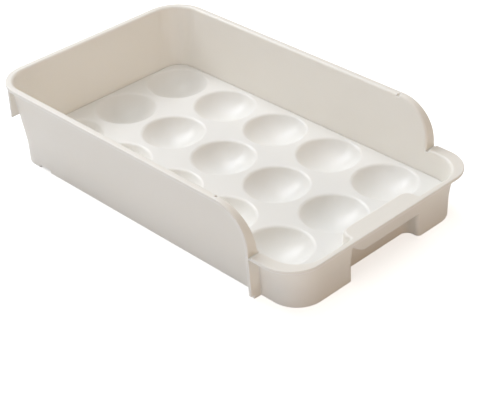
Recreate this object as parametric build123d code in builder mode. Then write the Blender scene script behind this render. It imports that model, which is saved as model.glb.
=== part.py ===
from build123d import *
import os

# Egg storage box: a moulded box with a low, curved front and a lift-out tray of egg hollows.
# Millimetres. X runs to the right, Y to the back and Z up. The front faces -Y.
# The origin is at the middle of the underside.

# Box, measured over the rim flange, which has one outline from the tall rim to the low front
box_width = 183.5
box_length = 300.5
box_height = 65.5
front_corner_radius = 24.3
rear_corner_radius = 27.1

# Walls: an upright skirt, a soft bend, then a wall that leans out to the tall rim
wall = 2.0
foot_inset = 10.7
rim_inset = 3.2
skirt_draft = 0.02
bend_height = 15.5
bend_spread = 4.0
bend_steps = 4
front_wall_reach = 4.8
front_foot_radius = 20.5

# Floor, raised on a foot ring with a drain notch on each side
foot_ring_height = 2.2
floor_thickness = 1.8
notch_length = 12.5
notch_height = 2.0
notch_from_back = 40.0

# Rim flange, which falls in a quarter-round curve to the low front
low_rim_height = 35.3
flange_thickness = 2.2
curve_foot_rise = 2.2
curve_foot_radius = 1.2
curve_foot_from_front = 38.5
rim_inner_radius = 2.0
rim_outer_radius = 0.7

# Slots across the rim, at the top and at the foot of each curve
slot_width = 2.6
slot_floor = 0.5
slot_land = 2.4
top_slot_from_front = 67.0

# Fins under the flange
fin_thickness = 2.2
front_fin_taper = 2.0
fin_step_width = 2.8
fin_step_height = 2.7
rear_fin_from_back = 20.5
rear_fin_bottom = 41.3

# Finger recess in the front, roofed by the flange carried inwards; its foot lies a little to the right
recess_depth = 10.8
recess_roof_half = 31.5
recess_foot_left = 29.9
recess_foot_right = 36.6
recess_inner_radius = 6.0
recess_mouth_radius = 3.0
least_radius = 0.5

# Lip that hangs in front of the finger recess, in line with the front wall, and rises to its left end
lip_bottom = 20.2
lip_rise_start = 21.8
lip_end_rise = 10.8
lip_turn_radius = 9.5

# Lift-out egg tray, whose skirt stands on the floor and whose hollows end just above it
deck_height = 18.0
tray_wall = 1.7
tray_gap = 0.3
tray_edge_radius = 0.3
rows = 5
columns = 3
side_margin = 12.25
rear_margin = 12.35
front_margin = 23.15
hollow_land = 3.6
hollow_floor_gap = 0.5
hollow_rim_radius = 3.0

# Derived places
front = -box_length / 2
back = box_length / 2
side = box_width / 2
lean = (foot_inset - skirt_draft * box_height - rim_inset) / (box_height - bend_height)
floor_top = foot_ring_height + floor_thickness
roof_underside = low_rim_height - flange_thickness
slot_depth = flange_thickness - slot_floor
curve_radius = box_height - low_rim_height - curve_foot_rise
curve_foot = front + curve_foot_from_front
curve_start = curve_foot + curve_radius
column_pitch = (box_width - 2 * side_margin) / columns
row_pitch = (box_length - front_margin - rear_margin) / rows
row_middle = (front_margin - rear_margin) / 2
hollow_reach = (min(column_pitch, row_pitch) - hollow_land) / 2
hollow_bottom = floor_top + hollow_floor_gap + tray_wall
hollow_depth = deck_height - hollow_bottom
hollow_radius = (hollow_reach**2 + hollow_depth**2) / (2 * hollow_depth) - hollow_rim_radius
hollow_centre = hollow_bottom + hollow_radius
clear = 10.0
touch = 0.01


def wall_inset(height):
    """Distance from the flange's side edge in to the wall's outer face at a height."""
    bent = min(max(height - bend_height + bend_spread, 0), 2 * bend_spread)
    past = max(height - bend_height - bend_spread, 0)
    return foot_inset - skirt_draft * height - lean * (bent**2 / (4 * bend_spread) + past)


def recess_sides(height):
    """How far the finger recess reaches to the left and to the right of the middle at a height."""
    rise = height / low_rim_height
    return [foot + (recess_roof_half - foot) * rise for foot in (recess_foot_left, recess_foot_right)]


def lift_sides(height):
    """The same as wide as the recess is anywhere above, so that the tray lifts past it."""
    return [max(reach, recess_roof_half) for reach in recess_sides(height)]


def wall_outline(height, depth, sides):
    """Level outline of the wall at a height and a depth in from its outer face."""
    inset = wall_inset(height) + depth
    level_front = front + inset - front_wall_reach
    level_back = back - inset
    recess_rear = level_front + recess_depth
    mouth_radius = max(recess_mouth_radius - depth, 0)
    rear_radius = min(recess_inner_radius + depth, recess_depth - mouth_radius - touch)
    with BuildSketch(Plane.XY.offset(height)) as level:
        with Locations((0, (level_front + level_back) / 2)):
            Rectangle(2 * (side - inset), level_back - level_front)
        fillet(level.vertices().group_by(Axis.Y)[0], front_foot_radius + foot_inset - inset)
        fillet(level.vertices().group_by(Axis.Y)[-1], rear_corner_radius - inset)
        if sides:
            recess_left, recess_right = [reach + depth for reach in sides(height)]
            space = recess_rear - level_front + clear
            with Locations(((recess_right - recess_left) / 2, recess_rear - space / 2)):
                RectangleRounded(recess_left + recess_right, space, rear_radius, mode=Mode.SUBTRACT)
            mouth = level.vertices().filter_by_position(Axis.X, -recess_left - touch, recess_right + touch)
            if mouth_radius > least_radius:
                fillet(mouth.group_by(Axis.Y)[0], mouth_radius)
    return level.sketch


def wall_form(depth, bottom, top, sides):
    """Solid inside the wall, a depth in from its outer face, from one height to another."""
    step = 2 * bend_spread / bend_steps
    bends = [bend_height - bend_spread + step * count for count in range(bend_steps + 1)]
    levels = [bottom] + [bend for bend in bends if bottom < bend < top] + [top]
    with BuildPart() as form:
        for low, high in zip(levels, levels[1:]):
            loft([wall_outline(low, depth, sides), wall_outline(high, depth, sides)], ruled=True)
    return form.part


def rim_profile(drop):
    """Side view of all that lies under the rim line, lowered by a drop square to the line."""
    low = low_rim_height - drop
    high = box_height - drop
    foot = curve_foot + drop
    arc_height = box_height - curve_radius
    with BuildSketch(Plane.YZ) as profile:
        with BuildLine():
            Polyline((curve_start, high), (back + clear, high), (back + clear, -clear),
                     (front - clear, -clear), (front - clear, low), (foot, low), (foot, arc_height))
            RadiusArc((foot, arc_height), (curve_start, high), curve_radius - drop)
        make_face()
        bottom_corner = profile.vertices().sort_by_distance((0, foot, low))[0]
        fillet(bottom_corner, curve_foot_radius + drop)
    return profile.sketch


def rim_loop(shape, near, far):
    """Edges that follow the rim line, between two distances in from the flange's edge."""
    chosen = ShapeList()
    for edge in shape.edges():
        points = [edge @ part for part in (0, 0.5, 1)]
        drops = [rim_line.distance_to(Vertex(0, point.Y, point.Z)) for point in points]
        insets = [flange_line.distance_to(Vertex(point.X, point.Y, 0)) for point in points]
        if max(drops) < touch and near < min(insets) and max(insets) < far:
            chosen.append(edge)
    return chosen


outer_form = wall_form(0, 0, roof_underside, recess_sides) + wall_form(0, roof_underside, box_height, None)
inner_form = wall_form(wall, 0, low_rim_height, recess_sides) + wall_form(wall, low_rim_height, box_height, None)
lip_layer = wall_form(0, lip_bottom, low_rim_height, None) - wall_form(wall, 0, box_height, None)
floor_form = wall_form(wall / 2, foot_ring_height, floor_top, recess_sides)
rim_line = rim_profile(0).wire()

with BuildPart() as under_rim:
    extrude(rim_profile(0), amount=box_width, both=True)

with BuildPart() as flange_block:
    with BuildSketch() as flange_outline:
        Rectangle(box_width, box_length)
        fillet(flange_outline.vertices().group_by(Axis.Y)[0], front_corner_radius)
        fillet(flange_outline.vertices().group_by(Axis.Y)[-1], rear_corner_radius)
    extrude(amount=box_height)
flange_line = flange_outline.sketch.face().outer_wire()

with BuildPart() as flange:
    add(flange_block.part)
    add(under_rim.part, mode=Mode.INTERSECT)
    extrude(rim_profile(flange_thickness), amount=box_width, both=True, mode=Mode.SUBTRACT)

with BuildPart() as fins:
    root = side - foot_inset - wall / 2
    foot = side - front_fin_taper
    step = foot - fin_step_width
    low_top = low_rim_height - flange_thickness / 2
    high_top = box_height - flange_thickness / 2
    front_corners = [(root, 0), (step, 0), (step, fin_step_height), (foot, fin_step_height),
                     (side, low_top), (root, low_top)]
    rear_corners = [(root, rear_fin_bottom), (side, rear_fin_bottom), (side, high_top), (root, high_top)]
    for plane_y, corners in ((curve_foot, front_corners), (back - rear_fin_from_back, rear_corners)):
        for hand in (-1, 1):
            with BuildSketch(Plane.XZ.offset(-plane_y)):
                Polygon(*[(hand * x, z) for x, z in corners], align=None)
            extrude(amount=-fin_thickness)
    add(flange_block.part, mode=Mode.INTERSECT)

with BuildPart() as lip:
    left_tip = max(recess_foot_left, recess_roof_half) + recess_mouth_radius + wall
    right_tip = max(recess_foot_right, recess_roof_half) + recess_mouth_radius + wall
    with BuildSketch(Plane.XZ.offset(-front)) as lip_window:
        Polygon((-lip_rise_start, lip_bottom), (right_tip, lip_bottom), (right_tip, low_top),
                (-left_tip, low_top), (-left_tip, lip_bottom + lip_end_rise), align=None)
        turn = lip_window.vertices().filter_by_position(Axis.X, -lip_rise_start - touch, -lip_rise_start + touch)
        fillet(turn, lip_turn_radius)
    extrude(amount=foot_inset, both=True)
    add(lip_layer, mode=Mode.INTERSECT)

with BuildPart() as box_shell:
    add(outer_form)
    add(under_rim.part, mode=Mode.INTERSECT)
    add(flange.part)
    add(fins.part)
    add(inner_form, mode=Mode.SUBTRACT)
    fillet(rim_loop(box_shell, rim_outer_radius, side), rim_inner_radius)
    fillet(rim_loop(box_shell, -touch, touch), rim_outer_radius)
    add(floor_form)
    add(lip.part)
    # Slots across the rim: the top one stops short of the flange's edge, the foot one runs through
    top_slot_y = front + top_slot_from_front + slot_width / 2
    top_slot_end = side - slot_land
    foot_slot_y = curve_foot - slot_width / 2
    slot_reach = foot_inset + 2 * wall
    for hand in (-1, 1):
        with Locations((hand * (top_slot_end - slot_reach / 2), top_slot_y, box_height)):
            Box(slot_reach, slot_width, 2 * slot_depth, mode=Mode.SUBTRACT)
        with Locations((hand * side, foot_slot_y, low_rim_height)):
            Box(2 * slot_reach, slot_width, 2 * slot_depth, mode=Mode.SUBTRACT)
        with Locations((hand * (side - foot_inset), back - notch_from_back, 0)):
            Box(4 * wall, notch_length, 2 * notch_height, mode=Mode.SUBTRACT)

with BuildPart() as bowl:
    # The hollow's arc meets the rounded rim's arc on the line through both centres
    arc_centre = Vector(0, hollow_centre)
    rim_centre = Vector(hollow_reach, deck_height - hollow_rim_radius)
    meeting = arc_centre + (rim_centre - arc_centre).normalized() * hollow_radius
    underside = deck_height - tray_wall
    outer_radius = hollow_radius + tray_wall
    outer_reach = (outer_radius**2 - (hollow_centre - underside) ** 2) ** 0.5
    with BuildSketch(Plane.XZ):
        with BuildLine():
            Line((0, hollow_bottom - tray_wall), (0, hollow_bottom))
            RadiusArc((0, hollow_bottom), (meeting.X, meeting.Y), -hollow_radius)
            RadiusArc((meeting.X, meeting.Y), (hollow_reach, deck_height), hollow_rim_radius)
            Polyline((hollow_reach, deck_height), (hollow_reach, underside), (outer_reach, underside))
            RadiusArc((outer_reach, underside), (0, hollow_bottom - tray_wall), outer_radius)
        make_face()
    revolve(axis=Axis.Z)

with BuildPart() as egg_tray_insert:
    add(wall_form(wall + tray_gap, floor_top, deck_height, lift_sides))
    skirt_inner = wall + tray_gap + tray_wall
    add(wall_form(skirt_inner, floor_top, underside, lift_sides), mode=Mode.SUBTRACT)
    fillet(egg_tray_insert.faces().sort_by(Axis.Z)[-1].outer_wire().edges(), tray_edge_radius)
    with Locations((0, row_middle, underside)):
        with GridLocations(column_pitch, row_pitch, columns, rows):
            Cylinder(hollow_reach, 2 * tray_wall, mode=Mode.SUBTRACT)
    with Locations((0, row_middle, 0)):
        with GridLocations(column_pitch, row_pitch, columns, rows):
            add(bowl.part)

os.makedirs("parts", exist_ok=True)
box_shell.part.label = "box_shell"
egg_tray_insert.part.label = "egg_tray_insert"
export_step(box_shell.part, "parts/box_shell.step")
export_step(egg_tray_insert.part, "parts/egg_tray_insert.step")
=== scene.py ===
"""Looks of the egg storage box: plastics, floor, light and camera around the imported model.

Metres, in the model's own frame: +X right, +Y to the tall back, +Z up.
"""

import math

import bpy
from mathutils import Matrix, Vector

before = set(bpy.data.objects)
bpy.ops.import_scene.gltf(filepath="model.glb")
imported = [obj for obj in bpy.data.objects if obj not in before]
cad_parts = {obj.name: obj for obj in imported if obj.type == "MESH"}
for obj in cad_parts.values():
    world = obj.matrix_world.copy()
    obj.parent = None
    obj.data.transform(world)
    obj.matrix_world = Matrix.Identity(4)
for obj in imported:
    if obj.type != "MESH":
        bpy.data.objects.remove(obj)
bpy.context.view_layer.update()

MM = 0.001
WHITE = "#FFFFFF"

# Plastics: polypropylene with the satin skin of a blasted steel mould, the box a little creamier in colour
SHELL_COLOUR = "#F4F1EA"
TRAY_COLOUR = "#F6F5F1"
PLASTIC_IOR = 1.49
SKIN_ROUGHNESS = 0.34
# The skin is glossier and duller in patches some centimetres across, where the melt cooled unevenly
ROUGHNESS_DRIFT = 0.05
PATCH_SIZE = 33.3 * MM
# Real grain is under 0.1 mm across, and is drawn coarser so that it shows
GRAIN_SIZE = 1.11 * MM
GRAIN_DEPTH = 0.2 * MM
GRAIN_STRENGTH = 0.12
# Edges are painted lighter within this reach, a painted highlight that stands in for light caught on rounded
# edges. The cosines of the surface's turn at the edges say where the painted highlight starts and where it is
# full
HIGHLIGHT_REACH = 1.2 * MM
HIGHLIGHT_START_COSINE = 0.995
HIGHLIGHT_FULL_COSINE = 0.85
# Milky body: how much of the light goes in, how far it travels, and its red, green and blue shares of that
MILKINESS = 0.18
MILKY_REACH = 3 * MM
MILKY_SHARES = (1.0, 0.92, 0.82)

# Floor: white paper. The camera sees it lifted a little above what the light makes it, and more so far from
# the lamps, so that it stays white up to the horizon while the box keeps its shadow
HALF_FLOOR = 4.0
PAPER_BOUNCE = "#EDEDED"
LIFT_NEAR = 0.55
LIFT_FAR = 1.0
LIFT_GROWS_FROM = 0.4
LIFT_GROWS_TO = 2.0

# Room: dim and slightly warm where it lights the box, white where the camera sees past the floor
ROOM_COLOUR = "#FFF7E7"
ROOM_STRENGTH = 0.26

# Lamps, all turned to the box from one distance: name, degrees round from +X towards +Y, degrees up,
# side in metres, watts and colour. The one behind on the right is the strongest, the front one is warm.
LAMP_DISTANCE = 1.8
LAMP_TARGET = Vector((0, 0, 0.03))
LAMPS = (
    ("back_right", 75, 50, 1.0, 12.0, "#F3F6FF"),
    ("back_left", 100, 42, 0.6, 6.8, "#F9FCFF"),
    ("overhead", 105, 88, 1.6, 7.8, "#FAFDFF"),
    ("left", 185, 15, 1.2, 7.3, "#F3F3FF"),
    ("front", 270, 15, 1.2, 4.2, "#FFCBA0"),
    ("right", 0, 20, 1.2, 4.2, "#FFF8F8"),
)

# Camera: where the photograph was taken from. In degrees, its yaw goes from +Y towards +X, its pitch down,
# and its roll lifts its right side
CAMERA_PLACE = (-0.57851, -0.62004, 0.53827)
CAMERA_YAW = 43.601
CAMERA_PITCH = 33.314
CAMERA_ROLL = -2.169
PICTURE_WIDTH = 485
FOCAL_PIXELS = 1394.9
SENSOR_MM = 36.0


def linear(colour):
    """An sRGB hex colour as linear red, green, blue and alpha, by the sRGB curve."""
    parts = [int(colour[place:place + 2], 16) / 255 for place in (1, 3, 5)]
    return [part / 12.92 if part <= 0.04045 else ((part + 0.055) / 1.055) ** 2.4 for part in parts] + [1.0]


def direction(around, up):
    """The unit vector at some degrees round from +X towards +Y and some degrees up from level."""
    around, up = math.radians(around), math.radians(up)
    return Vector((math.cos(around) * math.cos(up), math.sin(around) * math.cos(up), math.sin(up)))


def add(tree, kind, settings=None, links=None):
    """Adds a node, sets its properties and sockets, and links its sockets to other nodes' outputs.

    A socket goes by its name, or by its number where the node has several of one name.
    """
    node = tree.nodes.new(kind)
    for name, value in (settings or {}).items():
        if isinstance(name, str) and hasattr(node, name):
            setattr(node, name, value)
        else:
            node.inputs[name].default_value = value
    for name, source in (links or {}).items():
        tree.links.new(source, node.inputs[name])
    return node


def new_material(name):
    """An empty node material and its tree."""
    material = bpy.data.materials.new(name)
    material.use_nodes = True
    material.node_tree.nodes.clear()
    return material, material.node_tree


def end_tree(tree, output, light, picture):
    """Ends a tree with one shader that gives the light and another that the camera sees."""
    path = add(tree, "ShaderNodeLightPath")
    mix = add(tree, "ShaderNodeMixShader", None, {0: path.outputs["Is Camera Ray"], 1: light, 2: picture})
    add(tree, output, None, {"Surface": mix.outputs["Shader"]})


def moulded_plastic(name, colour):
    """Injection-moulded polypropylene: a pale, slightly milky plastic with a fine satin skin, and a painted
    highlight along its edges.
    """
    material, tree = new_material(name)
    place = add(tree, "ShaderNodeTexCoord").outputs["Object"]
    patches = add(tree, "ShaderNodeTexNoise", {"Scale": 1 / PATCH_SIZE, "Detail": 2.0}, {"Vector": place})
    rough = add(tree, "ShaderNodeMapRange",
                {"To Min": SKIN_ROUGHNESS - ROUGHNESS_DRIFT, "To Max": SKIN_ROUGHNESS + ROUGHNESS_DRIFT},
                {"Value": patches.outputs["Fac"]})
    grain = add(tree, "ShaderNodeTexNoise", {"Scale": 1 / GRAIN_SIZE, "Detail": 3.0}, {"Vector": place})
    bump = add(tree, "ShaderNodeBump", {"Strength": GRAIN_STRENGTH, "Distance": GRAIN_DEPTH},
               {"Height": grain.outputs["Fac"]})
    # The painted highlight along edges: a surface with its edges rounded turns away from the real one only
    # near its edges
    rounded = add(tree, "ShaderNodeBevel", {"samples": 6, "Radius": HIGHLIGHT_REACH})
    surface = add(tree, "ShaderNodeNewGeometry")
    cosine = add(tree, "ShaderNodeVectorMath", {"operation": "DOT_PRODUCT"},
                 {0: rounded.outputs["Normal"], 1: surface.outputs["Normal"]})
    highlight_mask = add(tree, "ShaderNodeMapRange", {"From Min": HIGHLIGHT_START_COSINE, "From Max": HIGHLIGHT_FULL_COSINE},
               {"Value": cosine.outputs["Value"]})
    # Painted highlight: the base colour is mixed towards white along edges
    highlighted_colour = add(tree, "ShaderNodeMixRGB", {"Color1": linear(colour), "Color2": linear(WHITE)},
               {"Fac": highlight_mask.outputs["Result"]})
    # The milky body lets light through the thin walls, so they are lighter above the tray than below it
    plastic = add(tree, "ShaderNodeBsdfPrincipled",
                  {"IOR": PLASTIC_IOR, "Subsurface Weight": MILKINESS, "Subsurface Radius": MILKY_SHARES,
                   "Subsurface Scale": MILKY_REACH},
                  {"Base Color": highlighted_colour.outputs["Color"], "Roughness": rough.outputs["Result"],
                   "Normal": bump.outputs["Normal"]})
    add(tree, "ShaderNodeOutputMaterial", None, {"Surface": plastic.outputs["BSDF"]})
    return material


def white_paper(name):
    """White paper for the floor, which the camera sees lifted."""
    material, tree = new_material(name)
    bounce = add(tree, "ShaderNodeBsdfDiffuse", {"Color": linear(PAPER_BOUNCE)})
    paper = add(tree, "ShaderNodeBsdfDiffuse", {"Color": linear(WHITE)})
    place = add(tree, "ShaderNodeTexCoord")
    away = add(tree, "ShaderNodeVectorMath", {"operation": "LENGTH"}, {0: place.outputs["Object"]})
    strength = add(tree, "ShaderNodeMapRange",
                   {"From Min": LIFT_GROWS_FROM, "From Max": LIFT_GROWS_TO,
                    "To Min": LIFT_NEAR, "To Max": LIFT_FAR},
                   {"Value": away.outputs["Value"]})
    lift = add(tree, "ShaderNodeEmission", {"Color": linear(WHITE)},
               {"Strength": strength.outputs["Result"]})
    seen = add(tree, "ShaderNodeAddShader", None, {0: paper.outputs["BSDF"], 1: lift.outputs["Emission"]})
    end_tree(tree, "ShaderNodeOutputMaterial", bounce.outputs["BSDF"], seen.outputs["Shader"])
    return material


# Plastics on the CAD nodes
for node_name, material in (
    ("box_shell", moulded_plastic("polypropylene_moulded_shell", SHELL_COLOUR)),
    ("egg_tray_insert", moulded_plastic("polypropylene_moulded_tray", TRAY_COLOUR)),
):
    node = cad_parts[node_name]
    node.data.materials.clear()
    node.data.materials.append(material)

# Floor
corners = [(x * HALF_FLOOR, y * HALF_FLOOR, 0) for x, y in ((-1, -1), (1, -1), (1, 1), (-1, 1))]
floor_mesh = bpy.data.meshes.new("floor")
floor_mesh.from_pydata(corners, [], [(0, 1, 2, 3)])
floor_mesh.materials.append(white_paper("studio_floor"))
floor = bpy.data.objects.new("floor", floor_mesh)
bpy.context.scene.collection.objects.link(floor)

# Room
world = bpy.data.worlds.new("studio")
bpy.context.scene.world = world
world.use_nodes = True
tree = world.node_tree
tree.nodes.clear()
room = add(tree, "ShaderNodeBackground", {"Color": linear(ROOM_COLOUR), "Strength": ROOM_STRENGTH})
white = add(tree, "ShaderNodeBackground", {"Color": linear(WHITE), "Strength": 1.0})
end_tree(tree, "ShaderNodeOutputWorld", room.outputs["Background"], white.outputs["Background"])

# Lamps
for name, around, up, side, watts, colour in LAMPS:
    light = bpy.data.lights.new(name, "AREA")
    light.size = side
    light.energy = watts
    light.color = linear(colour)[:3]
    lamp = bpy.data.objects.new(name, light)
    bpy.context.scene.collection.objects.link(lamp)
    lamp.location = direction(around, up) * LAMP_DISTANCE
    lamp.rotation_mode = "QUATERNION"
    lamp.rotation_quaternion = (LAMP_TARGET - lamp.location).to_track_quat("-Z", "Y")

# Camera: its axes before the roll, then turned by it
forward = direction(90 - CAMERA_YAW, -CAMERA_PITCH)
level_right = direction(-CAMERA_YAW, 0)
level_up = level_right.cross(forward)
roll = math.radians(CAMERA_ROLL)
right = math.cos(roll) * level_right + math.sin(roll) * level_up
upward = math.cos(roll) * level_up - math.sin(roll) * level_right
camera_data = bpy.data.cameras.new("camera")
camera_data.sensor_width = SENSOR_MM
camera_data.lens = FOCAL_PIXELS / PICTURE_WIDTH * SENSOR_MM
camera = bpy.data.objects.new("camera", camera_data)
bpy.context.scene.collection.objects.link(camera)
turn = Matrix((right, upward, -forward)).transposed().to_4x4()
camera.matrix_world = Matrix.Translation(CAMERA_PLACE) @ turn
bpy.context.scene.camera = camera
bpy.context.scene.view_settings.view_transform = "Standard"
